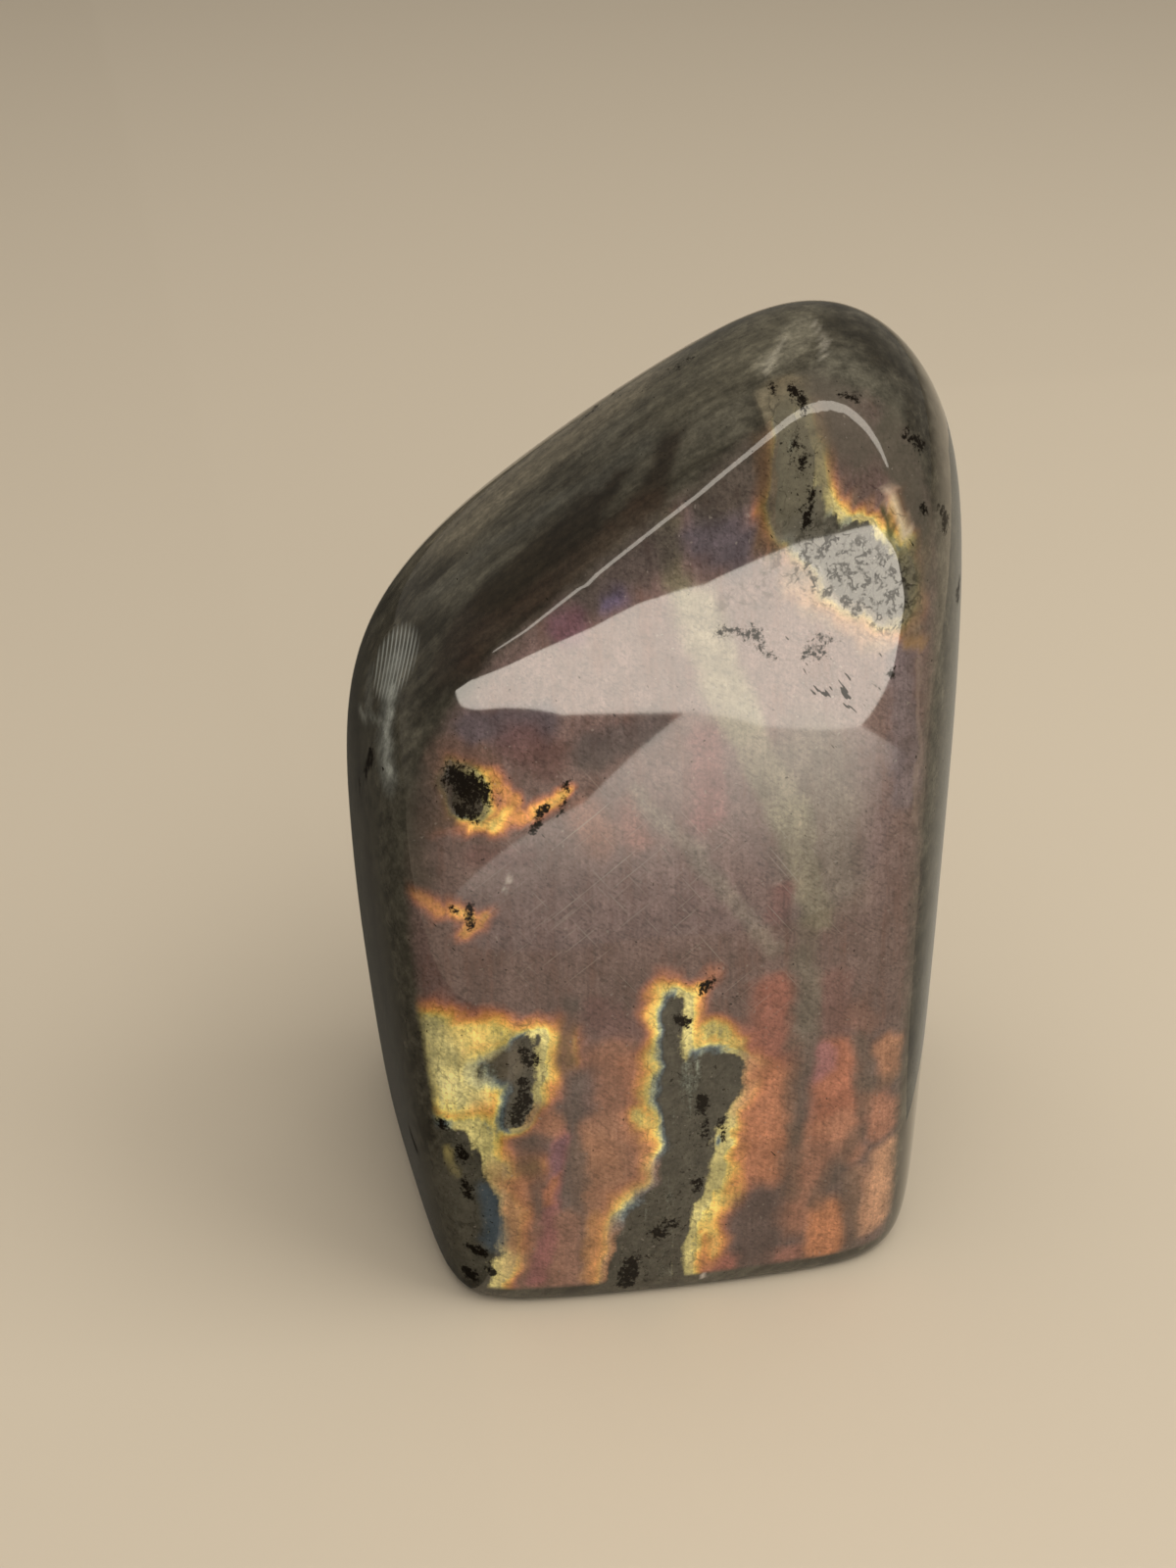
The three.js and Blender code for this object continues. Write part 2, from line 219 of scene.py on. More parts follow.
# Washes: from, to, radii, soft edge, colour, strength. They tint the flash.
flashWashes = {
    "middleGlow": ((-13.0, 38.8), (13.0, 40.0), (1.8, 1.8), 4.0, (0.190, 0.135, 0.135), 0.45),
    "columnRed": ((4.9, 30.8), (4.9, 24.0), (0.6, 1.1), 1.8, (0.40, 0.15, 0.11), 0.75),
    "columnSalmon": ((4.8, 21.6), (5.0, 13.2), (1.4, 0.8), 2.0, (0.53, 0.22, 0.12), 0.85),
    "columnRust": ((10.6, 23.8), (11.0, 17.0), (0.8, 1.3), 1.8, (0.46, 0.17, 0.10), 0.80),
    "columnRustFoot": ((9.6, 15.6), (7.6, 7.2), (0.9, 0.7), 2.0, (0.40, 0.18, 0.11), 0.65),
    "columnShard": ((11.8, 16.4), (12.6, 13.4), (0.7, 0.7), 1.5, (0.48, 0.23, 0.15), 0.70),
    "edgeShardTop": ((15.6, 22.8), (15.9, 20.8), (0.9, 0.5), 1.2, (0.49, 0.24, 0.14), 0.80),
    "edgeShard": ((14.3, 18.6), (15.8, 15.7), (0.5, 0.8), 1.4, (0.49, 0.22, 0.14), 0.75),
    "edgeShardFoot": ((15.9, 12.2), (15.5, 5.2), (0.5, 0.9), 1.4, (0.70, 0.39, 0.24), 0.85),
    "edgeShardInner": ((13.4, 10.4), (14.6, 4.6), (0.4, 0.7), 1.4, (0.52, 0.29, 0.19), 0.60),
    "blockFoot": ((10.4, 7.0), (10.4, 3.6), (1.3, 1.5), 1.4, (0.55, 0.23, 0.11), 0.85),
    "pinkFoot": ((1.5, 3.0), (1.0, 2.3), (0.6, 0.8), 1.4, (0.50, 0.18, 0.14), 0.70),
    "orangeFoot": ((0.5, 5.4), (-0.1, 3.4), (0.6, 0.7), 1.1, (0.62, 0.28, 0.10), 0.55),
    "pinkSpot": ((7.0, 3.2), (7.2, 2.5), (0.5, 0.5), 0.9, (0.40, 0.17, 0.13), 0.60),
    "violetShard": ((9.5, 24.2), (9.4, 22.4), (0.35, 0.35), 1.0, (0.34, 0.16, 0.19), 0.70),
    "violetFoot": ((3.9, 9.4), (4.3, 5.0), (1.2, 1.2), 1.7, (0.100, 0.072, 0.070), 0.75),
    "roseHigh": ((10.0, 30.6), (10.8, 27.2), (0.8, 0.8), 1.7, (0.21, 0.10, 0.09), 0.50),
    "roseShard": ((12.4, 27.6), (13.6, 26.0), (0.5, 0.5), 1.0, (0.25, 0.13, 0.10), 0.50),
    "gapWide": ((7.1, 24.6), (7.4, 16.6), (0.55, 0.5), 1.1, (0.090, 0.074, 0.060), 0.55),
    "gapWideFoot": ((7.2, 16.6), (6.8, 10.0), (0.45, 0.3), 1.2, (0.100, 0.080, 0.064), 0.55),
    "gapHigh": ((7.6, 33.0), (7.6, 26.0), (0.5, 0.6), 1.4, (0.135, 0.118, 0.098), 0.51),
    "gapRight": ((12.9, 24.6), (13.4, 17.6), (0.4, 0.35), 1.1, (0.130, 0.100, 0.080), 0.55),
    "gapLedge": ((13.4, 20.4), (16.6, 19.9), (0.3, 0.25), 0.8, (0.130, 0.100, 0.080), 0.51),
    "gapSlant": ((13.2, 15.4), (9.4, 8.8), (0.3, 0.6), 1.2, (0.100, 0.080, 0.066), 0.55),
    "gapFoot": ((12.6, 10.0), (13.3, 2.8), (0.4, 0.5), 1.2, (0.125, 0.100, 0.082), 0.55),
    "fieldGlow": ((-22.2, 28.0), (-20.4, 23.6), (0.9, 0.9), 2.2, (0.90, 0.84, 0.42), 0.75),
    "fieldGlowTop": ((-20.2, 28.2), (-18.0, 27.6), (0.5, 0.4), 1.6, (0.96, 0.78, 0.30), 0.50),
    "stripeGlow": ((-16.4, 15.0), (-15.2, 4.0), (0.9, 1.2), 2.2, (0.45, 0.20, 0.12), 0.55),
    "stripeGlowRight": ((-9.6, 16.4), (-9.0, 4.0), (0.9, 0.8), 2.0, (0.46, 0.23, 0.13), 0.60),
    "greyStripe": ((-11.6, 31.0), (-11.1, 11.0), (0.4, 0.5), 0.9, (0.125, 0.100, 0.095), 0.75),
    "duskStripeHigh": ((-9.5, 30.0), (-9.4, 20.5), (0.5, 0.4), 1.0, (0.135, 0.090, 0.088), 0.65),
    "duskStripeLeft": ((-14.6, 12.0), (-15.4, 3.0), (0.35, 0.5), 0.8, (0.150, 0.095, 0.085), 0.65),
    "duskStripeMiddle": ((-12.6, 10.0), (-13.4, 2.6), (0.3, 0.35), 0.7, (0.160, 0.100, 0.090), 0.60),
    "duskStripeRight": ((-10.9, 11.0), (-10.2, 2.4), (0.3, 0.35), 0.7, (0.170, 0.115, 0.100), 0.60),
    "magentaStripe": ((-12.4, 18.2), (-14.6, 3.4), (0.3, 0.45), 0.8, (0.30, 0.12, 0.13), 0.80),
    "emberStripe": ((-13.1, 14.4), (-13.7, 11.8), (0.2, 0.2), 0.7, (0.42, 0.17, 0.08), 0.75),
    "violetStripe": ((-12.5, 17.8), (-12.9, 15.4), (0.2, 0.25), 0.6, (0.165, 0.088, 0.120), 0.75),
    "brownStripe": ((-15.4, 17.8), (-15.0, 11.0), (0.6, 0.4), 1.0, (0.120, 0.082, 0.068), 0.65),
    "salmonStripe": ((-14.8, 20.2), (-13.4, 19.4), (0.8, 0.6), 1.4, (0.42, 0.19, 0.11), 0.70),
    "rustStripe": ((-16.5, 14.0), (-16.4, 7.5), (0.4, 0.4), 1.2, (0.46, 0.20, 0.10), 0.65),
    "pinkStripe": ((-12.2, 9.4), (-12.2, 2.4), (0.5, 0.7), 1.4, (0.35, 0.18, 0.13), 0.65),
    "tanHigh": ((-8.3, 26.0), (-7.6, 21.6), (0.8, 0.8), 1.8, (0.34, 0.16, 0.10), 0.65),
    "tanMiddle": ((-8.6, 18.4), (-6.2, 14.2), (1.2, 1.3), 1.7, (0.42, 0.21, 0.13), 0.65),
    "tanFoot": ((-9.2, 9.4), (-9.5, 3.0), (0.35, 0.35), 1.2, (0.56, 0.28, 0.10), 0.60),
    "mauveHigh": ((-9.0, 30.4), (-7.0, 28.4), (0.7, 0.7), 1.5, (0.160, 0.083, 0.083), 0.55),
    "emberGlow": ((-9.8, 47.0), (-8.6, 45.6), (0.5, 0.5), 1.9, (0.30, 0.15, 0.11), 0.55),
    "blush": ((-0.3, 52.4), (-0.1, 46.6), (0.7, 0.8), 1.4, (0.20, 0.09, 0.09), 0.60),
    "blushLow": ((-18.5, 44.0), (-14.5, 44.4), (0.4, 0.5), 1.0, (0.120, 0.062, 0.060), 0.60),
    "leftFade": ((-21.6, 55.6), (-23.4, 42.4), (0.5, 0.4), 2.4, (0.060, 0.048, 0.038), 0.85),
    "dullLeft": ((-21.4, 51.6), (-21.0, 47.2), (1.0, 0.9), 0.9, (0.100, 0.074, 0.062), 0.90),
    "bandHigh": ((-2.5, 68.6), (-1.9, 64.0), (0.4, 0.5), 1.0, (0.130, 0.120, 0.078), 0.75),
    "bandField": ((8.0, 50.0), (9.4, 40.0), (1.6, 1.2), 4.0, (0.165, 0.150, 0.118), 0.60),
    "bandStripe": ((8.3, 37.0), (8.0, 27.0), (0.4, 0.5), 0.9, (0.150, 0.135, 0.110), 0.55),
    "blushLeft": ((-5.9, 47.6), (-5.6, 45.0), (0.4, 0.5), 1.2, (0.26, 0.12, 0.10), 0.50),
    "bandRed": ((6.2, 39.6), (5.6, 37.6), (0.3, 0.5), 1.1, (0.190, 0.075, 0.072), 0.60),
    "bandWedge": ((-0.6, 62.4), (2.7, 54.0), (0.8, 1.0), 1.5, (0.25, 0.23, 0.16), 0.75),
    "bandMiddle": ((2.8, 54.0), (6.5, 45.6), (1.1, 1.0), 0.9, (0.21, 0.19, 0.14), 0.70),
    "bandFoot": ((6.5, 45.6), (9.0, 36.6), (1.0, 0.7), 0.9, (0.20, 0.18, 0.13), 0.70),
    "slantShade": ((0.6, 44.6), (5.8, 37.4), (0.4, 0.5), 1.3, (0.135, 0.088, 0.080), 0.50),
    "slantLine": ((-5.2, 48.6), (5.4, 34.6), (0.1, 0.3), 1.0, (0.20, 0.18, 0.15), 0.50),
    "duskRight": ((15.8, 57.0), (16.6, 46.0), (0.7, 0.6), 1.4, (0.155, 0.132, 0.155), 0.60),
    "upperGrey": ((-9.0, 64.2), (-3.2, 66.8), (0.9, 1.2), 1.6, (0.062, 0.052, 0.048), 0.80),
    "upperViolet": ((0.7, 67.4), (2.6, 66.8), (1.2, 1.0), 1.6, (0.068, 0.062, 0.080), 0.80),
    "upperBrown": ((1.0, 70.4), (4.4, 71.8), (1.0, 1.0), 1.6, (0.066, 0.058, 0.048), 0.80),
    "upperBlue": ((-7.3, 63.2), (-6.1, 63.5), (0.2, 0.2), 1.1, (0.085, 0.070, 0.140), 0.65),
    "upperMagenta": ((-10.9, 61.6), (-9.8, 62.1), (0.3, 0.3), 1.2, (0.170, 0.075, 0.120), 0.55),
    "shadeGrey": ((-17.8, 54.2), (-12.6, 54.6), (0.5, 0.6), 1.3, (0.078, 0.068, 0.086), 0.70),
    "shadeRed": ((-14.2, 53.0), (-12.4, 52.0), (0.8, 0.8), 1.5, (0.112, 0.058, 0.056), 0.65),
    "shadeRight": ((-8.8, 52.4), (-4.4, 54.0), (0.9, 0.5), 1.5, (0.080, 0.070, 0.072), 0.70),
    "crestMauve": ((11.8, 73.0), (13.2, 70.9), (1.0, 0.8), 1.3, (0.105, 0.078, 0.068), 0.70),
    "crestBrown": ((5.5, 73.8), (5.4, 66.6), (0.7, 0.7), 1.0, (0.105, 0.066, 0.038), 0.85),
    "dullTop": ((-20.8, 52.3), (-17.0, 52.2), (0.7, 0.6), 0.9, (0.130, 0.080, 0.064), 0.85),
    "crestFoot": ((7.6, 64.0), (13.8, 59.6), (0.6, 0.8), 1.7, (0.30, 0.22, 0.14), 0.70),
    "crestEnd": ((16.6, 59.6), (17.4, 64.4), (0.7, 0.7), 1.0, (0.150, 0.128, 0.085), 0.75),
    "crestArc": ((9.6, 74.2), (9.8, 70.8), (0.5, 0.4), 1.1, (0.120, 0.092, 0.062), 0.75),
    "crestArcLow": ((10.6, 69.6), (14.2, 67.2), (0.3, 0.3), 1.0, (0.26, 0.18, 0.09), 0.50),
}

# Spots that lie over everything else on the show face.
faceSpots = {
    "leftSpot": ((-21.5, 16.7), (-21.2, 14.8), (0.25, 0.25), 0.6, (0.38, 0.33, 0.13), 0.85),
    "highHaze": ((-19.2, 50.2), (-18.5, 47.8), (0.9, 0.7), 1.2, (0.045, 0.036, 0.026), 0.75),
    "leftBrown": ((-15.6, 26.6), (-16.6, 25.2), (0.5, 0.4), 1.3, (0.165, 0.140, 0.105), 0.60),
    "chip": ((-0.6, 1.5), (-0.4, 1.5), (0.12, 0.12), 0.25, (0.70, 0.64, 0.60), 0.90),
    "pitHigh": ((-16.1, 42.6), (-15.9, 42.1), (0.1, 0.1), 0.25, (0.42, 0.38, 0.35), 0.70),
    "pitLow": ((-16.3, 41.5), (-16.3, 41.3), (0.1, 0.1), 0.25, (0.42, 0.38, 0.35), 0.70),
    "crestTop": ((9.8, 75.2), (12.6, 73.0), (1.0, 1.0), 1.6, (0.100, 0.088, 0.072), 0.85),
    "crestRight": ((15.6, 73.4), (17.8, 66.0), (0.9, 0.7), 1.2, (0.088, 0.082, 0.064), 0.85),
    "crestGrey": ((7.8, 74.4), (7.9, 68.0), (1.0, 1.3), 1.6, (0.160, 0.148, 0.108), 0.75),
    "crestGreyLow": ((8.6, 66.2), (15.6, 62.4), (1.8, 2.0), 1.8, (0.110, 0.106, 0.090), 0.70),
    # painted highlight: a small bright glint on the crest
    "crestPaintedGleam": ((15.0, 69.2), (16.4, 66.2), (0.15, 0.05), 0.6, (0.60, 0.50, 0.40), 0.75),
    "crestLens": ((14.5, 68.2), (15.2, 66.2), (0.18, 0.22), 0.3, (0.070, 0.078, 0.036), 0.90),
    "rightLine": ((17.6, 57.4), (17.4, 43.0), (0.06, 0.06), 0.3, (0.26, 0.20, 0.17), 0.45),
    "rightEmber": ((16.2, 58.2), (17.8, 58.0), (0.2, 0.2), 0.6, (0.33, 0.20, 0.08), 0.60),
    "lowGrey": ((-21.6, 14.5), (-21.8, 5.0), (1.0, 1.2), 1.8, (0.095, 0.090, 0.072), 0.60),
    "lowBlue": ((-18.7, 13.0), (-18.2, 7.6), (0.2, 0.3), 1.3, (0.055, 0.095, 0.145), 0.60),
}

# Seen from above, across (x) and back (y): the slope and the crown.
topWashes = {
    "edgeBrown": ((-17.2, -8.8), (-3.4, -7.4), (0.6, 0.7), 1.3, (0.035, 0.022, 0.015), 0.80),
    "duskLow": ((-18.6, -7.6), (-16.6, -6.3), (0.8, 0.8), 1.8, (0.026, 0.018, 0.013), 0.75),
    "duskLeft": ((-14.8, -5.9), (-11.6, -5.0), (1.1, 1.3), 2.0, (0.019, 0.014, 0.008), 0.85),
    "duskMiddle": ((-8.8, -5.4), (-6.0, -3.2), (1.1, 1.1), 1.8, (0.016, 0.012, 0.008), 0.85),
    "duskRight": ((-2.2, -5.4), (-1.0, -3.4), (0.5, 0.6), 1.2, (0.016, 0.011, 0.007), 0.85),
    "paleStreak": ((-19.6, 0.4), (-10.0, -1.2), (0.2, 0.3), 1.2, (0.079, 0.077, 0.065), 0.55),
    "paleStreakHigh": ((-10.0, -1.2), (-2.4, -2.0), (0.3, 0.4), 1.2, (0.084, 0.082, 0.067), 0.60),
    "backGlow": ((-15.0, 8.0), (-3.0, 9.5), (2.4, 2.6), 4.5, (0.168, 0.148, 0.108), 0.75),
    "crownGrey": ((2.0, 2.0), (9.0, 4.0), (2.2, 2.4), 4.0, (0.092, 0.085, 0.062), 0.70),
    "crownPale": ((8.0, -0.2), (10.8, 2.6), (1.1, 1.3), 0.7, (0.165, 0.155, 0.120), 0.75),
    "crownTan": ((7.0, -3.2), (8.6, -4.2), (0.7, 0.7), 0.9, (0.155, 0.126, 0.082), 0.75),
    "crownRight": ((12.4, -3.2), (14.6, -3.8), (1.5, 1.4), 2.2, (0.090, 0.086, 0.068), 0.70),
    "crownDark": ((14.2, 2.6), (17.2, 0.8), (0.9, 0.9), 2.4, (0.018, 0.016, 0.011), 0.75),
    "crownSpike": ((6.3, -3.4), (5.6, -7.2), (0.4, 0.1), 0.4, (0.23, 0.20, 0.14), 0.75),
    "crackLeft": ((7.0, -1.0), (8.7, 1.8), (0.08, 0.08), 0.3, (0.42, 0.40, 0.34), 0.35),
    "crackRight": ((11.4, -1.9), (12.0, 0.4), (0.08, 0.1), 0.3, (0.40, 0.38, 0.33), 0.35),
    "crackHigh": ((12.3, 0.2), (12.0, 3.8), (0.06, 0.06), 0.3, (0.34, 0.32, 0.28), 0.35),
}

# Seen from the left, back (y) and up (z): the shoulder, dulled by handling, with a painted highlight on it.
sideWashes = {
    "flank": ((-6.0, 42.0), (-6.0, 12.0), (7.0, 7.0), 5.0, (0.070, 0.067, 0.054), 0.70),
    "flankDark": ((-7.4, 40.0), (-8.4, 26.0), (0.6, 0.8), 2.2, (0.026, 0.020, 0.014), 0.60),
    # painted highlight: a light mirrored along the rounded shoulder, painted pale into the colour
    "paintedGleam": ((-2.4, 54.4), (-9.4, 48.6), (0.6, 0.3), 1.5, (0.180, 0.192, 0.182), 0.75),
    "paintedGleamCore": ((-4.4, 53.2), (-9.2, 49.0), (0.2, 0.1), 0.7, (0.42, 0.45, 0.43), 0.70),
    # a handling mark, painted pale where it lies in the painted highlight
    "smear": ((1.6, 52.0), (-1.6, 51.0), (0.1, 0.2), 0.7, (0.150, 0.158, 0.150), 0.45),
    "dark": ((4.0, 50.0), (-4.0, 44.0), (1.2, 1.0), 2.2, (0.022, 0.021, 0.016), 0.60),
    # a handling mark, painted pale where it lies in the painted highlight
    "zigzag": ((0.8, 49.4), (-3.9, 51.0), (0.05, 0.1), 0.4, (0.30, 0.32, 0.30), 0.55),
}

# The same seen from the right: the flank painted lighter, a painted light where the lamps fall on it.
rightPaintedLight = {
    "flank": ((-6.0, 58.0), (-4.0, 8.0), (5.0, 6.0), 6.0, (0.105, 0.098, 0.078), 0.65),
}

# Black inclusions: from, to, radii, soft edge, core. The core is 0 where they are solid, higher where sparse.
faceInk = {
    "highLeft": ((-19.3, 50.5), (-18.0, 49.3), (0.5, 0.5), 1.9, 0.10),
    "highLeftFoot": ((-19.3, 48.0), (-18.7, 47.1), (0.3, 0.3), 1.1, 0.12),
    "highDot": ((-13.9, 46.8), (-13.7, 47.0), (0.3, 0.25), 0.6, 0.1),
    "highDotNext": ((-13.3, 47.9), (-13.0, 48.2), (0.25, 0.25), 0.6, 0.1),
    "highDotLast": ((-11.7, 47.7), (-11.1, 50.2), (0.1, 0.1), 0.8, 0.25),
    "edgeLeft": ((-20.2, 40.2), (-19.9, 39.9), (0.1, 0.1), 0.8, 0.25),
    "edgeRight": ((-18.9, 40.2), (-18.8, 38.4), (0.1, 0.1), 0.8, 0.25),
    "leftTop": ((-15.1, 27.2), (-14.2, 26.2), (0.30, 0.25), 0.9, 0.15),
    "leftMiddle": ((-15.4, 24.4), (-15.5, 23.2), (0.25, 0.25), 0.9, 0.20),
    "leftFoot": ((-15.8, 22.2), (-16.2, 20.3), (0.30, 0.25), 1.0, 0.15),
    "lowTop": ((-20.3, 17.2), (-20.0, 16.7), (0.35, 0.25), 0.7, 0.1),
    "lowMiddle": ((-20.5, 13.8), (-20.5, 11.9), (0.2, 0.3), 0.9, 0.2),
    "lowFoot": ((-19.9, 7.0), (-19.2, 6.3), (0.25, 0.25), 0.6, 0.1),
    "lowEnd": ((-20.7, 4.0), (-20.3, 3.2), (0.45, 0.35), 0.7, 0.05),
    "lowDot": ((-18.6, 4.6), (-18.5, 4.3), (0.25, 0.25), 0.5, 0.0),
    "lowScatter": ((-21.5, 18.5), (-21.5, 3.0), (1.2, 1.2), 2.0, 0.83),
    "leftBand": ((-22.5, 19.6), (-22.2, 19.2), (0.3, 0.3), 0.6, 0.1),
    "neck": ((-2.4, 28.8), (-1.6, 28.3), (0.35, 0.3), 0.6, 0.05),
    "neckTip": ((-0.9, 31.4), (-0.2, 32.0), (0.35, 0.25), 0.7, 0.15),
    "centreTop": ((-0.6, 21.4), (-0.2, 20.2), (0.35, 0.3), 0.7, 0.1),
    "centreMiddle": ((-0.2, 19.0), (-0.4, 16.6), (0.1, 0.1), 0.9, 0.25),
    "centreDot": ((-0.9, 12.0), (-0.8, 11.8), (0.35, 0.35), 0.5, 0.0),
    "centreSpur": ((1.4, 18.8), (1.6, 16.2), (0.15, 0.15), 0.5, 0.2),
    "centreFoot": ((-4.5, 7.6), (-4.4, 7.3), (0.35, 0.3), 0.6, 0.05),
    "centreFootNext": ((-4.2, 9.0), (-2.9, 8.4), (0.15, 0.15), 0.6, 0.2),
    "centreEnd": ((-6.6, 4.4), (-6.8, 2.0), (0.35, 0.4), 0.9, 0.08),
    "centreScatter": ((-1.3, 22.5), (-2.5, 10.0), (1.7, 1.7), 1.8, 0.77),
    "footScatter": ((-3.5, 10.0), (-5.2, 2.0), (2.2, 2.6), 1.5, 0.74),
    "crestTop": ((7.8, 73.0), (8.0, 71.8), (0.3, 0.25), 0.7, 0.15),
    "crestMiddle": ((8.6, 69.7), (8.2, 69.2), (0.20, 0.15), 0.7, 0.10),
    "crestFoot": ((8.4, 68.6), (8.3, 67.6), (0.15, 0.15), 0.7, 0.15),
    "crestScatter": ((8.0, 74.0), (8.0, 67.0), (1.2, 1.4), 1.5, 0.78),
    "dashes": ((0.5, 60.7), (4.0, 60.4), (0.15, 0.2), 0.9, 0.28),
    "dashesTail": ((4.0, 60.0), (5.3, 58.9), (0.1, 0.05), 0.7, 0.30),
    "dashesRight": ((8.0, 58.5), (9.5, 58.3), (0.2, 0.2), 0.9, 0.24),
    "dashesHigh": ((9.2, 59.5), (10.7, 58.9), (0.1, 0.1), 0.5, 0.25),
    "wedgeDot": ((14.9, 56.1), (15.1, 56.1), (0.2, 0.2), 0.4, 0.0),
    "rightHigh": ((17.4, 72.9), (18.0, 71.7), (0.12, 0.15), 0.6, 0.12),
    "rightDot": ((18.1, 67.6), (18.2, 67.4), (0.25, 0.25), 0.5, 0.1),
    "rightMiddle": ((20.0, 66.6), (20.6, 65.2), (0.2, 0.25), 0.6, 0.1),
    "rightLow": ((22.8, 58.8), (23.0, 57.2), (0.2, 0.2), 0.7, 0.1),
}
topInk = {
    "crownLeft": ((7.0, -3.1), (7.3, -3.3), (0.15, 0.15), 0.5, 0.10),
    "crownMiddle": ((7.9, -3.9), (8.2, -4.4), (0.15, 0.12), 0.5, 0.10),
    "crownRight": ((8.8, -5.1), (9.0, -5.3), (0.20, 0.15), 0.5, 0.05),
    "crownDash": ((11.4, -4.4), (12.9, -4.6), (0.12, 0.12), 0.5, 0.10),
    "slopeDots": ((-6.0, 8.2), (-3.0, 9.8), (0.1, 0.1), 0.6, 0.35),
    "slopeDotsHigh": ((-1.5, 6.0), (3.0, 5.5), (0.2, 0.2), 0.9, 0.40),
}

sideInk = {
    "high": ((-5.2, 48.3), (-4.8, 47.0), (0.6, 0.5), 0.9, 0.05),
    "low": ((-3.6, 45.0), (-3.4, 44.3), (0.2, 0.2), 0.7, 0.20),
    "corner": ((-11.2, 14.0), (-13.2, 13.4), (0.35, 0.4), 0.8, 0.15),
    "scatter": ((-4.0, 44.0), (-6.0, 30.0), (1.0, 1.0), 3.0, 0.80),
}

# Where cracks net the stone, where slanting dashes lie, and where the polish is scratched.
crackNet = {
    "crest": ((9.4, 65.2), (14.4, 62.0), (2.0, 2.2), 1.4, 0.0),
    "crestLeft": ((5.8, 65.4), (9.0, 65.2), (1.3, 1.6), 1.4, 0.45),
    "crestFar": ((1.4, 62.8), (5.4, 64.2), (0.7, 1.0), 1.2, 0.55),
}
slantDashes = {"wedge": ((8.6, 56.2), (13.0, 55.0), (0.8, 0.9), 1.6, 0.0)}
scratches = {"middle": ((-9.0, 41.0), (3.0, 37.0), (5.0, 5.0), 7.0, 0.0)}

markingSpread = {
    "seed": 7,
    # noise that pushes the strokes about: scale per mm, push in mm
    "wander": [(0.22, 0.75), (0.60, 0.42), (1.60, 0.22)],
    "rimNoise": (0.30, 0.70),  # scale per mm, and how strongly a rim's width varies
    "blueShift": (0.8, 0.0),  # mm. Only the left sides of the zones have a blue rim
    "blueSide": (8.0, 0.4),  # how sharply the left side stands out, and the share that a level part has
    "meltLevels": 0.06,  # how far zones run together where they meet
    # the marks of each side: the way it looks, where they end on the stone's normals, and over how much
    "front": ((0, -1, 0), -0.2, 0.3),
    "top": ((0, 0, 1), 0.3, 0.2),
    "left": ((-1, 0, 0), 0.4, 0.2),
    "right": ((1, 0, 0), 0.4, 0.2),
}


def wander(points, scale):  # a smooth push for each point, about -1 to 1
    return np.array([mathutils.noise.noise_vector(spot) for spot in (points * scale).tolist()])


def outsideStroke(spots, start, end, radii):  # mm, negative inside
    start, along = np.array(start), np.subtract(end, start)
    share = np.clip((spots - start) @ along / (along @ along), 0, 1)
    off = np.linalg.norm(spots - start - np.outer(share, along), axis=1)
    return off - radii[0] - share * (radii[1] - radii[0])


def lowestLevel(spots, strokes, widen=1.0):
    lowest = np.ones(len(spots))
    melt = markingSpread["meltLevels"]
    for start, end, radii, rim, core in strokes.values():
        level = core + np.maximum(outsideStroke(spots, start, end, radii), 0) / rim * widen
        near = np.maximum(melt - np.abs(lowest - level), 0) / melt
        lowest = np.minimum(lowest, level) - near ** 3 * melt / 6
    return np.clip(lowest, 0, 1)


def paintStrokes(spots, strokes):  # colour times cover, and cover
    paint = np.zeros((len(spots), 4))
    for start, end, radii, soft, colour, strength in strokes.values():
        fade = np.clip(outsideStroke(spots, start, end, radii) / soft, 0, 1)
        cover = strength * (1 - fade * fade * (3 - 2 * fade))[:, None]
        paint = paint * (1 - cover) + cover * np.array([*colour, 1.0])
    return paint


def lookingTo(side, normals):  # 1 where the stone looks that way, 0 where it looks away
    direction, start, width = markingSpread[side]
    return np.clip((normals @ direction - start) / width, 0, 1)


def keepMarks(mesh, name, values):
    kind, field = ("FLOAT", "value") if values.ndim == 1 else ("FLOAT_COLOR", "color")
    mesh.attributes.new(name, kind, "POINT").data.foreach_set(field, values.astype(np.float32).ravel())


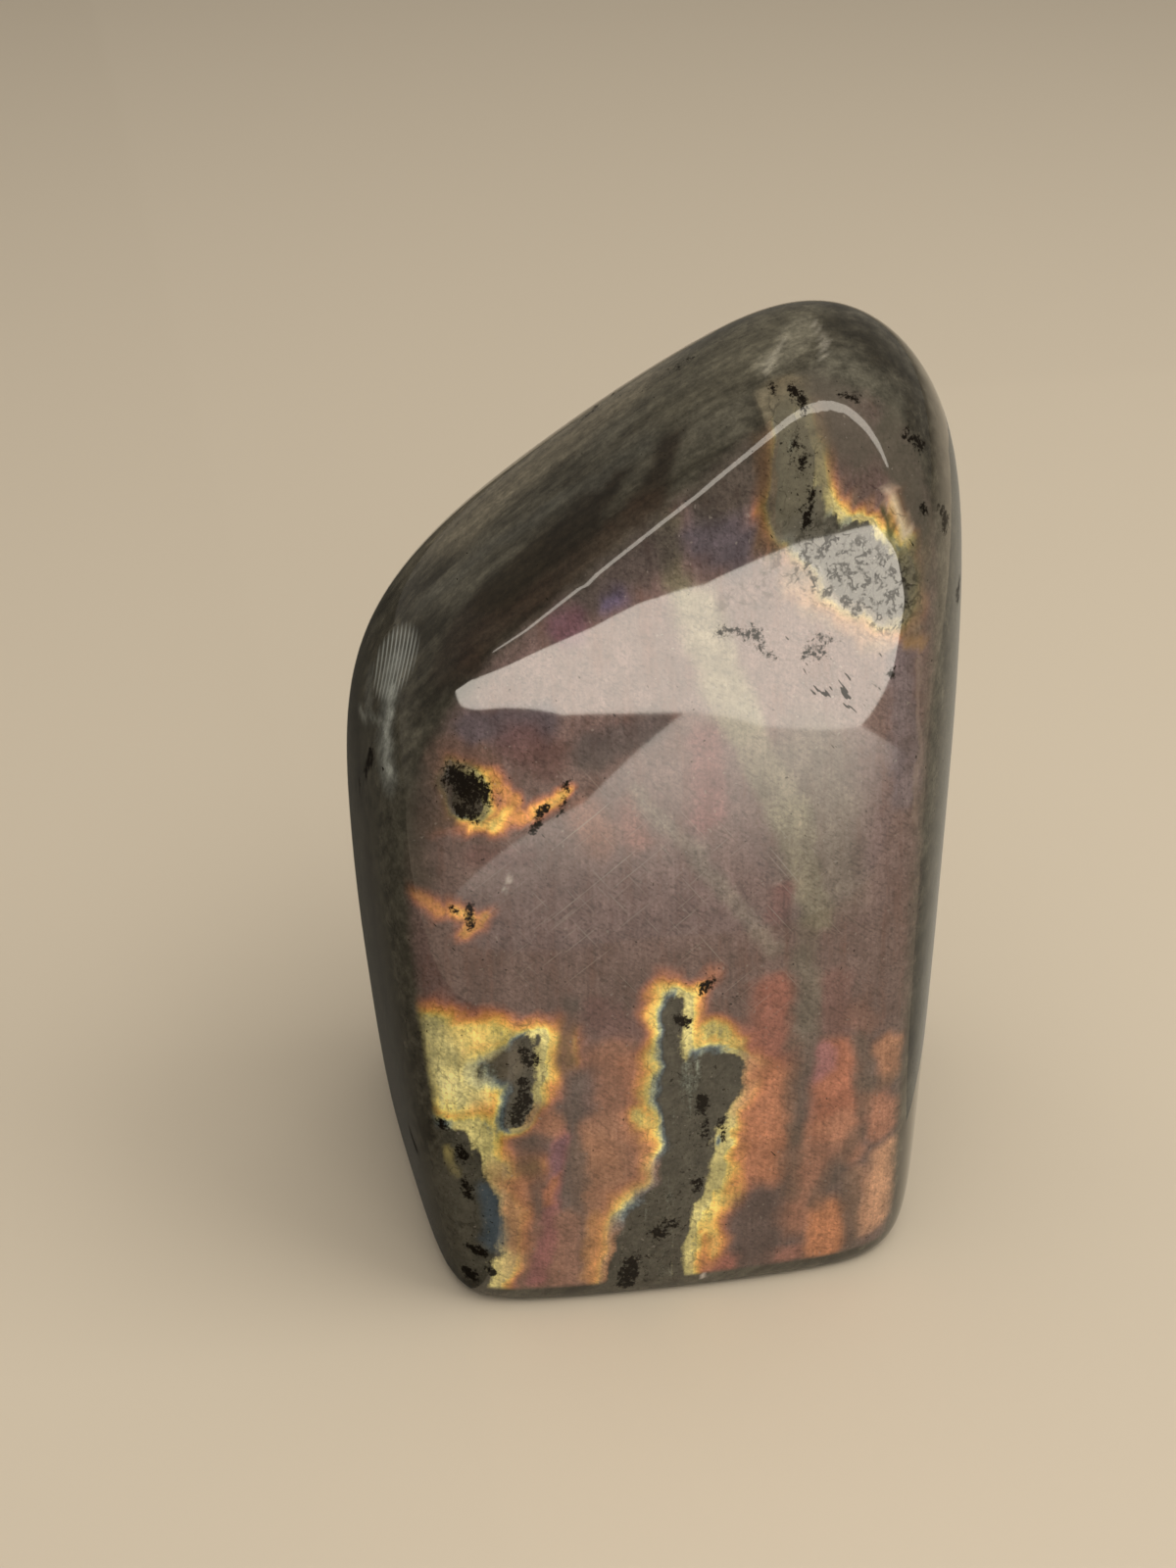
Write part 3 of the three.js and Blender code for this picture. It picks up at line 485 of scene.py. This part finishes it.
def markStone(mesh, points):
    mathutils.noise.seed_set(markingSpread["seed"])  # otherwise the noise starts anew at every run
    moved = points.copy()
    for scale, push in markingSpread["wander"]:
        moved += wander(points, scale) * push
    fromFront, fromAbove, fromLeft = moved[:, [0, 2]], moved[:, [0, 1]], moved[:, [1, 2]]
    normals = skinNormals(points)
    front, top, left, right = (lookingTo(side, normals) for side in ("front", "top", "left", "right"))

    scale, vary = markingSpread["rimNoise"]
    widen = np.exp(vary * wander(points, scale)[:, 0])
    level = lowestLevel(fromFront, flashZones, widen)
    further = lowestLevel(fromFront + markingSpread["blueShift"], flashZones, widen)
    sharpness, levelShare = markingSpread["blueSide"]
    keepMarks(mesh, "flashLevel", level)
    keepMarks(mesh, "blueSide", np.clip((level - further) * sharpness + levelShare, 0, 1))
    keepMarks(mesh, "flashWash", paintStrokes(fromFront, flashWashes))
    bodyWash = paintStrokes(fromAbove, topWashes) * top[:, None]
    # the left side's washes hold a painted highlight, and the right flank is painted lighter as painted light
    sideWash = paintStrokes(fromLeft, sideWashes) * left[:, None]
    sideWash += paintStrokes(fromLeft, rightPaintedLight) * right[:, None]
    keepMarks(mesh, "bodyWash", bodyWash * (1 - sideWash[:, 3:]) + sideWash)
    keepMarks(mesh, "faceSpots", paintStrokes(fromFront, faceSpots) * front[:, None])
    sides = [(fromFront, faceInk, front), (fromAbove, topInk, top), (fromLeft, sideInk, left)]
    ink = [(1 - lowestLevel(spots, strokes)) * side for spots, strokes, side in sides]
    keepMarks(mesh, "ink", np.max(ink, axis=0))
    areas = [("crackNet", crackNet), ("slantDashes", slantDashes), ("scratches", scratches)]
    for name, strokes in areas:
        keepMarks(mesh, name, (1 - lowestLevel(fromFront, strokes)) * front)


def makeStone():
    blank, quads = blankGrid(stoneForm["cuts"])
    points = groundFrom(blank)
    points = points + skinNormals(points) * polishWaves(points)[:, None]
    mesh = bpy.data.meshes.new("labradorite")
    mesh.from_pydata((points * mm).tolist(), [], quads.tolist())
    mesh.shade_smooth()
    mesh.set_sharp_from_angle(angle=math.radians(stoneForm["sharpAngle"]))
    markStone(mesh, points)
    stone = bpy.data.objects.new("labradorite", mesh)
    bpy.context.scene.collection.objects.link(stone)
    return stone


# Node helpers. A value that is a socket is linked, anything else is set.
def addNode(tree, kind, feeds=None, **settings):
    node = tree.nodes.new(kind)
    for name, value in settings.items():
        setattr(node, name, value)
    for name, value in (feeds or {}).items():
        if isinstance(value, bpy.types.NodeSocket):
            tree.links.new(value, node.inputs[name])
        else:
            node.inputs[name].default_value = value
    return node


def calc(tree, operation, *values):
    feeds = dict(enumerate(values))
    return addNode(tree, "ShaderNodeMath", feeds, operation=operation).outputs[0]


def chain(tree, operation, first, *others):
    for other in others:
        first = calc(tree, operation, first, other)
    return first


def vector(tree, operation, *values, out="Vector"):
    feeds = dict(enumerate(values))
    return addNode(tree, "ShaderNodeVectorMath", feeds, operation=operation).outputs[out]


def between(tree, value, low, high, toLow=0.0, toHigh=1.0):
    feeds = {"Value": value, "From Min": low, "From Max": high, "To Min": toLow, "To Max": toHigh}
    return addNode(tree, "ShaderNodeMapRange", feeds, interpolation_type="SMOOTHSTEP").outputs["Result"]


def blend(tree, amount, first, second, mode="MIX"):
    node = addNode(tree, "ShaderNodeMix", data_type="RGBA", blend_type=mode)
    for name, value in (("Factor_Float", amount), ("A_Color", first), ("B_Color", second)):
        socket = next(s for s in node.inputs if s.identifier == name)
        if isinstance(value, bpy.types.NodeSocket):
            tree.links.new(value, socket)
        else:
            socket.default_value = value if name == "Factor_Float" else (*value, 1.0)
    return next(s for s in node.outputs if s.identifier == "Result_Color")


def shaded(tree, colour, factor):
    return blend(tree, 1.0, colour, factor, mode="MULTIPLY")


def ramp(tree, value, stops):
    node = addNode(tree, "ShaderNodeValToRGB", {"Fac": value})
    elements = node.color_ramp.elements
    while len(elements) < len(stops):
        elements.new(0.5)
    for element, (position, colour) in zip(elements, stops):
        element.position = position
        element.color = (*colour, 1.0)
    return node.outputs["Color"]


stoneFinish = {
    "flashColours": [
        (0.00, (0.065, 0.063, 0.052)),
        (0.10, (0.066, 0.080, 0.092)),
        (0.18, (0.150, 0.200, 0.220)),
        (0.27, (0.450, 0.500, 0.340)),
        (0.36, (0.930, 0.790, 0.250)),
        (0.47, (0.960, 0.580, 0.150)),
        (0.58, (0.700, 0.325, 0.110)),
        (0.72, (0.400, 0.175, 0.110)),
        (0.86, (0.240, 0.128, 0.106)),
        (1.00, (0.150, 0.103, 0.097)),
    ],
    "bodyDark": (0.026, 0.023, 0.016),
    "bodyPale": (0.096, 0.090, 0.070),
    "greyZone": (0.076, 0.074, 0.059),
    "ink": (0.008, 0.006, 0.004),
    "crack": (0.020, 0.018, 0.014),
    "scratch": (0.300, 0.270, 0.240),
    "faceEdge": (47, 24),  # degrees off the show face's facing, where the flash goes out
    "footEdge": (1.8, 2.5),  # mm above the base
    # scale per mm, detail and roughness
    "noise": {
        "edge": (0.45, 4.0, 0.65),
        "lamellae": (0.9, 4.0, 0.6),
        "fineLamellae": (4.0, 2.0, 0.5),
        "flecks": (1.0, 3.0, 0.5),
        "grain": (3.2, 3.0, 0.7),
        "cloud": (0.35, 4.0, 0.6),
        "blotches": (0.9, 5.0, 0.65),
        "patches": (0.22, 2.0, 0.5),
        "mottle": (0.16, 5.0, 0.6),
        "streaks": (1.0, 5.0, 0.62),
        "fineStreaks": (1.0, 4.0, 0.6),
        "swirl": (0.8, 3.0, 0.5),
        "netGaps": (1.3, 2.0, 0.5),
        "scratches": (1.0, 2.0, 0.5),
        "dust": (3.1, 0.0, 0.5),
        "speckle": (2.8, 5.0, 0.75),
        "dashes": (1.0, 1.0, 0.5),
        "specks": (2.6, 1.0, 0.5),
    },
    # lean in degrees, then scale along each axis
    "stretch": {
        "lamellae": (0, (1.0, 0.5, 0.06)),
        "flecks": (52, (4.6, 4.6, 1.5)),
        "streaks": (-54, (0.5, 0.5, 0.07)),
        "fineStreaks": (-54, (1.1, 1.1, 0.112)),
        "risingScratches": (38, (7.0, 0.5, 0.12)),
        "fallingScratches": (-52, (7.0, 0.5, 0.12)),
        "dashes": (-52, (0.75, 1.0, 3.2)),
    },
    # how far a noise moves a value up and down
    "swing": {
        "edge": 0.16,
        "levelByLamellae": 0.28,
        "levelByGrain": 0.12,
        "levelByCloud": 0.16,
        "bodyGrain": 0.7,
        "flashFineLamellae": 0.5,
        "flashLamellae": 0.7,
        "flashGrain": 0.8,
        "allBlotches": 0.7,
        "allGrain": 0.5,
    },
    # from and to, and what these become, if not 0 and 1
    "spread": {
        "bareRim": (0.0, 1.0, 0.32, 0.0),
        "bodyTone": (0.36, 0.66),
        "fineStreaks": (0.32, 0.68, 0.80, 1.22),
        "bodyBlotches": (0.3, 0.7, 0.84, 1.18),
        "flecks": (0.34, 0.48, 0.72, 1.0),
        "cloud": (0.30, 0.70, 0.78, 1.18),
        "patches": (0.40, 0.60, 0.70, 1.12),
        "inRim": (0.70, 0.50),
        "flashOn": (0.02, 0.14),
        "hairlines": (0.035, 0.010, 0.0, 0.40),
        "hairlineClouds": (0.45, 0.60),
        "hairlineLevel": (0.95, 0.50, 0.25, 1.0),
        "net": (0.22, 0.04),
        "netGaps": (0.42, 0.56),
        "scratches": (0.64, 0.73, 0.0, 0.48),
        "dust": (0.80, 0.84, 0.0, 0.35),
        "speckle": (0.63, 0.77),
        "dashes": (0.79, 0.82),
        "specks": (0.765, 0.80, 0.0, 0.8),
        "coat": (0.0, 1.0, 1.0, 0.35),  # inclusions and open cracks take no polish
        "roughness": (0.0, 1.0, 0.30, 0.42),
    },
    "gain": {"speckle": 0.34, "dashes": 0.17, "specks": 0.07},  # how much thicker specks lie in their marks
    # bend in mm, scale along each axis, cells per mm
    "cracks": {"hairlines": (1.6, (1.0, 1.0, 0.55), 0.42), "net": (3.2, (1.0, 1.0, 1.0), 0.95)},
    "netDark": 0.90,
    "netDull": 0.75,
    "mottleShare": 0.4,  # of the body's tone, the rest is streaks
    "greyShare": 0.7,
    "flashMetallic": 0.12,
    "fleckRelief": (0.08, 0.1),  # strength, and height in mm
    "refraction": 1.56,
    "coatRoughness": 0.045,
}

# The print of a fingertip on the left shoulder, its ridges painted pale as the light they catch: a real mark,
# partly a painted highlight. Places in mm back and up.
fingerPrint = {
    "colour": (0.420, 0.450, 0.440),
    "middle": (-1.8, 54.6),
    "size": (4.2, 3.0),
    "edge": (1.0, 0.4),  # shares of its size between which it fades in
    "ridge": 0.55,  # mm from ridge to ridge
    "lean": (-0.56, 0.828),  # across the ridges
    "curve": 0.60,
    "ridgeCover": (0.0, 0.9, 0.10, 0.80),
    "leftOf": (-18.0, -20.0),  # mm across
}


def layer(tree, name, point, out="Fac"):
    scale, detail, rough = stoneFinish["noise"][name]
    feeds = {"Vector": point, "Scale": scale, "Detail": detail, "Roughness": rough}
    return addNode(tree, "ShaderNodeTexNoise", feeds).outputs[out]


def stretched(tree, name, point):  # turned about the y axis, so that streaks can lean
    lean, scales = stoneFinish["stretch"][name]
    if lean:
        feeds = {"Vector": point, "Axis": (0.0, 1.0, 0.0), "Angle": math.radians(lean)}
        point = addNode(tree, "ShaderNodeVectorRotate", feeds, rotation_type="AXIS_ANGLE").outputs["Vector"]
    return vector(tree, "MULTIPLY", point, scales)


def swung(tree, name, value, texture):  # noise lies about 0.5
    offset = calc(tree, "SUBTRACT", texture, 0.5)
    return calc(tree, "MULTIPLY_ADD", offset, stoneFinish["swing"][name], value)


def spread(tree, name, value):
    return between(tree, value, *stoneFinish["spread"][name])


def specked(tree, name, point, where):
    thick = calc(tree, "MULTIPLY_ADD", where, stoneFinish["gain"][name], layer(tree, name, point))
    return spread(tree, name, thick)


def fromCrack(tree, name, swirl, point):  # distance to the nearest crack
    bend, scales, cells = stoneFinish["cracks"][name]
    bent = vector(tree, "MULTIPLY_ADD", swirl, (bend, bend, bend), point)
    feeds = {"Vector": vector(tree, "MULTIPLY", bent, scales), "Scale": cells}
    return addNode(tree, "ShaderNodeTexVoronoi", feeds, feature="DISTANCE_TO_EDGE").outputs["Distance"]


def marked(tree, name, out="Fac"):
    return addNode(tree, "ShaderNodeAttribute", attribute_name=name).outputs[out]


def paintOn(tree, colour, name):  # a painted attribute holds colour times cover, and cover
    bare = calc(tree, "SUBTRACT", 1.0, marked(tree, name, "Alpha"))
    return blend(tree, 1.0, shaded(tree, colour, bare), marked(tree, name, "Color"), mode="ADD")


def fingerMark(tree, axes):
    back = calc(tree, "SUBTRACT", axes["Y"], fingerPrint["middle"][0])
    up = calc(tree, "SUBTRACT", axes["Z"], fingerPrint["middle"][1])
    shares = [calc(tree, "DIVIDE", way, size) for way, size in zip((back, up), fingerPrint["size"])]
    far = calc(tree, "ADD", *(calc(tree, "POWER", share, 2.0) for share in shares))
    parts = [calc(tree, "MULTIPLY", way, lean) for way, lean in zip((back, up), fingerPrint["lean"])]
    across = calc(tree, "MULTIPLY_ADD", far, fingerPrint["curve"], calc(tree, "ADD", *parts))
    ridges = calc(tree, "SINE", calc(tree, "MULTIPLY", across, 2 * math.pi / fingerPrint["ridge"]))
    patch = between(tree, far, *fingerPrint["edge"])
    onLeft = between(tree, axes["X"], *fingerPrint["leftOf"])
    return chain(tree, "MULTIPLY", patch, onLeft, between(tree, ridges, *fingerPrint["ridgeCover"]))


def finishStone():
    look = stoneFinish
    material = bpy.data.materials.new("labradorite_polish")
    material.use_nodes = True
    tree = material.node_tree
    tree.nodes.clear()

    place = addNode(tree, "ShaderNodeTexCoord").outputs
    spot = vector(tree, "MULTIPLY", place["Object"], (1 / mm, 1 / mm, 1 / mm))
    axes = addNode(tree, "ShaderNodeSeparateXYZ", {"Vector": spot}).outputs

    # where the flash shows: on the show face, down to just above the base
    facingShow = vector(tree, "DOT_PRODUCT", place["Normal"], tuple(showNormal), out="Value")
    facingShow = swung(tree, "edge", facingShow, layer(tree, "edge", spot))
    outer, inner = (math.cos(math.radians(angle)) for angle in look["faceEdge"])
    aboveFoot = between(tree, axes["Z"], *look["footEdge"])
    onFace = calc(tree, "MULTIPLY", between(tree, facingShow, outer, inner), aboveFoot)

    # lamellae stand upright in the stone
    upright = stretched(tree, "lamellae", spot)
    lamellae = layer(tree, "lamellae", upright)
    fineLamellae = layer(tree, "fineLamellae", upright)
    flecks = layer(tree, "flecks", stretched(tree, "flecks", spot))
    grain = layer(tree, "grain", spot)
    cloud = layer(tree, "cloud", spot)
    blotches = layer(tree, "blotches", spot)

    level = swung(tree, "levelByLamellae", marked(tree, "flashLevel"), lamellae)
    level = swung(tree, "levelByGrain", level, grain)
    level = swung(tree, "levelByCloud", level, cloud)
    hue = calc(tree, "MAXIMUM", level, spread(tree, "bareRim", marked(tree, "blueSide")))

    # body of the stone
    mottle = calc(tree, "MULTIPLY", layer(tree, "mottle", spot), look["mottleShare"])
    streaks = layer(tree, "streaks", stretched(tree, "streaks", spot))
    bodyTone = calc(tree, "MULTIPLY_ADD", streaks, 1 - look["mottleShare"], mottle)
    body = blend(tree, spread(tree, "bodyTone", bodyTone), look["bodyDark"], look["bodyPale"])
    # this wash also carries the shoulder's painted highlight and the right flank's painted light
    body = paintOn(tree, body, "bodyWash")
    fineStreaks = layer(tree, "fineStreaks", stretched(tree, "fineStreaks", spot))
    body = shaded(tree, body, spread(tree, "fineStreaks", fineStreaks))
    body = blend(tree, calc(tree, "MULTIPLY", onFace, look["greyShare"]), body, look["greyZone"])
    bodyGrain = swung(tree, "bodyGrain", 1.0, grain)
    body = shaded(tree, body, calc(tree, "MULTIPLY", bodyGrain, spread(tree, "bodyBlotches", blotches)))

    # flash, duller in patches of the bright rims
    flash = paintOn(tree, ramp(tree, hue, look["flashColours"]), "flashWash")
    patches = calc(tree, "SUBTRACT", spread(tree, "patches", layer(tree, "patches", spot)), 1.0)
    patches = calc(tree, "MULTIPLY_ADD", spread(tree, "inRim", level), patches, 1.0)
    shades = [
        swung(tree, "flashFineLamellae", 1.0, fineLamellae),
        swung(tree, "flashLamellae", 1.0, lamellae),
        swung(tree, "flashGrain", 1.0, grain),
        spread(tree, "flecks", flecks),
        spread(tree, "cloud", cloud),
        patches,
    ]
    flash = shaded(tree, flash, chain(tree, "MULTIPLY", *shades))
    flashOn = calc(tree, "MULTIPLY", spread(tree, "flashOn", level), onFace)
    colour = paintOn(tree, blend(tree, flashOn, body, flash), "faceSpots")
    colour = shaded(tree, colour, swung(tree, "allBlotches", 1.0, blotches))
    colour = shaded(tree, colour, swung(tree, "allGrain", 1.0, grain))

    # cleavage cracks: a few hairlines over the face, a dark net by the crest
    swirl = vector(tree, "SUBTRACT", layer(tree, "swirl", spot, out="Color"), (0.5, 0.5, 0.5))
    hairlines = spread(tree, "hairlines", fromCrack(tree, "hairlines", swirl, spot))
    hairlineClouds = spread(tree, "hairlineClouds", cloud)
    hairlines = chain(tree, "MULTIPLY", hairlines, hairlineClouds, spread(tree, "hairlineLevel", level))
    net = spread(tree, "net", fromCrack(tree, "net", swirl, spot))
    netGaps = spread(tree, "netGaps", layer(tree, "netGaps", spot))
    net = chain(tree, "MULTIPLY", net, marked(tree, "crackNet"), netGaps)
    cracks = calc(tree, "MAXIMUM", hairlines, calc(tree, "MULTIPLY", net, look["netDark"]))
    colour = blend(tree, cracks, colour, look["crack"])

    # fine pale scratches in two directions, and dust
    scored = []
    for name in ("risingScratches", "fallingScratches"):
        scored.append(spread(tree, "scratches", layer(tree, "scratches", stretched(tree, name, spot))))
    scored = calc(tree, "MULTIPLY", calc(tree, "MAXIMUM", *scored), marked(tree, "scratches"))
    dust = calc(tree, "MULTIPLY", spread(tree, "dust", layer(tree, "dust", spot)), onFace)
    colour = blend(tree, calc(tree, "MAXIMUM", scored, dust), colour, look["scratch"])

    # black inclusions, thick in the clusters and rare elsewhere
    inGrey = calc(tree, "MULTIPLY", calc(tree, "SUBTRACT", 1.0, flashOn), onFace)
    clusters = specked(tree, "speckle", spot, marked(tree, "ink"))
    dashes = specked(tree, "dashes", stretched(tree, "dashes", spot), marked(tree, "slantDashes"))
    inked = chain(tree, "MAXIMUM", clusters, dashes, specked(tree, "specks", spot, inGrey))
    colour = blend(tree, inked, colour, look["ink"])
    # the fingerprint, its ridges painted pale: a real mark, partly a painted highlight
    colour = blend(tree, fingerMark(tree, axes), colour, fingerPrint["colour"])

    unpolished = calc(tree, "MAXIMUM", inked, calc(tree, "MULTIPLY", net, look["netDull"]))
    strength, height = look["fleckRelief"]
    bumps = {"Height": flecks, "Strength": strength, "Distance": height * mm}
    relief = addNode(tree, "ShaderNodeBump", bumps)
    shader = addNode(tree, "ShaderNodeBsdfPrincipled", {
        "Base Color": colour,
        "Roughness": spread(tree, "roughness", flashOn),
        "Metallic": calc(tree, "MULTIPLY", flashOn, look["flashMetallic"]),
        "IOR": look["refraction"],
        "Specular IOR Level": 0.0,
        "Coat Weight": spread(tree, "coat", unpolished),
        "Coat Roughness": look["coatRoughness"],
        "Coat IOR": look["refraction"],
        "Normal": relief.outputs["Normal"],
    })
    addNode(tree, "ShaderNodeOutputMaterial", {"Surface": shader.outputs["BSDF"]})
    return material


# Camera at the photo's angle. Angles in degrees, lengths in mm.
view = {
    "target": (-5.07, 9.51, 33.83),
    "turn": -10,
    "rise": 33,
    "distance": 196.5,
    "lens": 50,
    "sensor": 36,
    "clipStart": 10,
}


def placeCamera():
    back = facing(view["turn"], view["rise"])
    eye = np.array(view["target"]) + back * view["distance"]
    data = bpy.data.cameras.new("camera")
    data.lens = view["lens"]
    data.sensor_width = view["sensor"]
    data.clip_start = view["clipStart"] * mm
    camera = bpy.data.objects.new("camera", data)
    camera.location = eye * mm
    camera.rotation_euler = (math.radians(90 - view["rise"]), 0, math.radians(view["turn"]))
    bpy.context.scene.collection.objects.link(camera)
    bpy.context.scene.camera = camera
    return eye


# Floor and light. The cards are only seen as reflections in the polish.
studio = {
    "warm": (1.0, 0.92, 0.80),
    "floorColour": (0.61, 0.55, 0.46),
    "clothColour": (1.0, 0.90, 0.72),
    "floorSize": 3.0,  # metres
    "floorRoughness": 0.6,
    "floorSpecular": 0.2,
    "worldStrength": 0.16,
    # lamps: turn, rise, distance in m, size in m, power in W
    "key": (70, 52, 0.55, 0.35, 1.20),
    "fill": (5, 35, 0.60, 0.40, 0.92),
    "overhead": (0, 90, 0.80, 1.00, 4.90),
    "aim": (0, 0, 0.035),  # metres, what the lamps point at
    "cardDepth": -130.0,  # mm, the plane that the cards stand in
    "windowStrength": 7.5,
    "hazeFade": (5, 42, 0.8, 4.5),  # mm up the card at both ends of the fade, and the strength there
    # what the cards mirror as on the show face, in mm across and up
    "window": [
        (-18.7, 55.5), (-16, 55.5), (-11, 55.2), (-2, 54.7), (4, 52.8), (12.5, 52.4), (15, 56), (16, 61.5),
        (15.5, 65), (13.6, 67.5), (8, 67), (0, 64.4), (-8, 61.9), (-12, 60.2), (-15, 58.6), (-17.8, 57.2),
        (-19, 56.3),
    ],
    "haze": [
        (-1.5, 54.8), (-10, 48), (-20, 41.5), (-20, 36.5), (17.4, 36.5), (17.4, 50), (12.5, 52.4), (4, 52.8),
    ],
    # the lamp tube: mm across and up on the stone where it is mirrored, and half its width there
    "topTube": [
        (-16.0, 59.2, 0.03), (-13.1, 61.2, 0.06), (-8.5, 64.5, 0.09), (-4.0, 67.6, 0.10), (0.0, 70.2, 0.11),
        (4.0, 72.8, 0.13), (7.4, 74.8, 0.18), (9.0, 75.4, 0.23), (10.5, 75.5, 0.27), (12.0, 75.2, 0.27),
        (13.3, 74.2, 0.24), (14.3, 72.8, 0.18), (15.0, 71.2, 0.08),
    ],
    "tubeStrength": 5.0,
    "tubeDistance": 260.0,
    # dark cloths on the floor that the sides mirror: outline in mm, and how bright they are
    "leftCloth": (
        [(-22, -90), (-20, -6), (-25, 20), (-30, 62), (-130, 1400), (-1400, 1400), (-1400, -90)], 0.06,
    ),
    "rightCloth": ([(32, -10), (160, -10), (160, 170), (20, 170), (14, 36), (28, 20)], 0.33),
    "clothHeight": 0.5,
}


def mirrorRays(spots, eye):  # where the camera's rays meet the front of the stone, and where they go on to
    spots = np.array(spots)
    starts = np.stack([spots[:, 0], np.full(len(spots), heart[1]), spots[:, 1]], axis=1)
    skin = skinAlong(starts, np.tile((0.0, -1.0, 0.0), (len(spots), 1)))
    normals = skinNormals(skin)
    rays = (skin - eye) / np.linalg.norm(skin - eye, axis=1, keepdims=True)
    return skin, rays - 2 * (rays * normals).sum(axis=1, keepdims=True) * normals


def cardCorners(spots, eye):
    skin, rays = mirrorRays(spots, eye)
    return skin + rays * ((studio["cardDepth"] - skin[:, 1]) / rays[:, 1])[:, None]


def tubeCorners(line, eye):  # a ribbon, one side after the other
    line = np.array(line)
    along = np.gradient(line[:, :2], axis=0)
    across = np.stack([-along[:, 1], along[:, 0]], axis=1) / np.linalg.norm(along, axis=1, keepdims=True)
    across = across * line[:, 2:]
    skin, rays = mirrorRays(np.concatenate([line[:, :2] - across, line[:, :2] + across]), eye)
    return skin + rays * studio["tubeDistance"]


def makeCard(name, corners, strength, faces=None, fade=None, colour=studio["warm"]):
    mesh = bpy.data.meshes.new(name)
    mesh.from_pydata((np.array(corners) * mm).tolist(), [], faces or [list(range(len(corners)))])
    card = bpy.data.objects.new(name, mesh)
    bpy.context.scene.collection.objects.link(card)
    material = bpy.data.materials.new(name)
    material.use_nodes = True
    tree = material.node_tree
    tree.nodes.clear()
    if fade:
        low, high, lowStrength, highStrength = fade
        place = addNode(tree, "ShaderNodeTexCoord").outputs["Object"]
        height = addNode(tree, "ShaderNodeSeparateXYZ", {"Vector": place}).outputs["Z"]
        strength = between(tree, height, low * mm, high * mm, lowStrength, highStrength)
    glow = addNode(tree, "ShaderNodeEmission", {"Color": (*colour, 1.0), "Strength": strength})
    addNode(tree, "ShaderNodeOutputMaterial", {"Surface": glow.outputs["Emission"]})
    mesh.materials.append(material)
    card.visible_camera = False
    card.visible_diffuse = False
    card.visible_shadow = False


def makeLight(name):
    turn, rise, distance, size, power = studio[name]
    data = bpy.data.lights.new(name, "AREA")
    data.energy = power
    data.color = studio["warm"]
    data.size = size
    light = bpy.data.objects.new(name, data)
    light.location = np.array(studio["aim"]) + facing(turn, rise) * distance
    light.rotation_euler = (math.radians(90 - rise), 0, math.radians(turn))
    light.visible_camera = False
    light.visible_glossy = False
    bpy.context.scene.collection.objects.link(light)


def makeFloor():
    half = studio["floorSize"] / 2
    corners = [(-half, -half, 0), (half, -half, 0), (half, half, 0), (-half, half, 0)]
    mesh = bpy.data.meshes.new("floor")
    mesh.from_pydata(corners, [], [(0, 1, 2, 3)])
    floor = bpy.data.objects.new("floor", mesh)
    bpy.context.scene.collection.objects.link(floor)
    material = bpy.data.materials.new("pale_floor")
    material.use_nodes = True
    shader = material.node_tree.nodes["Principled BSDF"]
    shader.inputs["Base Color"].default_value = (*studio["floorColour"], 1.0)
    shader.inputs["Roughness"].default_value = studio["floorRoughness"]
    shader.inputs["Specular IOR Level"].default_value = studio["floorSpecular"]
    mesh.materials.append(material)


def lightStudio(eye):
    world = bpy.data.worlds.new("studio")
    bpy.context.scene.world = world
    world.use_nodes = True
    sky = world.node_tree.nodes["Background"]
    sky.inputs["Color"].default_value = (*studio["warm"], 1.0)
    sky.inputs["Strength"].default_value = studio["worldStrength"]
    for name in ("key", "fill", "overhead"):
        makeLight(name)
    makeCard("windowCard", cardCorners(studio["window"], eye), studio["windowStrength"])
    makeCard("hazeCard", cardCorners(studio["haze"], eye), studio["windowStrength"], fade=studio["hazeFade"])
    count = len(studio["topTube"])
    faces = [(i, i + 1, count + i + 1, count + i) for i in range(count - 1)]
    makeCard("topTube", tubeCorners(studio["topTube"], eye), studio["tubeStrength"], faces)
    for name in ("leftCloth", "rightCloth"):
        outline, strength = studio[name]
        corners = [(x, y, studio["clothHeight"]) for x, y in outline]
        makeCard(name, corners, strength, colour=studio["clothColour"])
    makeFloor()


eye = placeCamera()
print("camera set")
stone = makeStone()
stone.data.materials.append(finishStone())
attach(stone, "root")
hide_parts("stone")
print("stone made:", len(stone.data.polygons), "faces")
lightStudio(eye)
bpy.context.scene.view_settings.view_transform = "Standard"
print("studio lit")
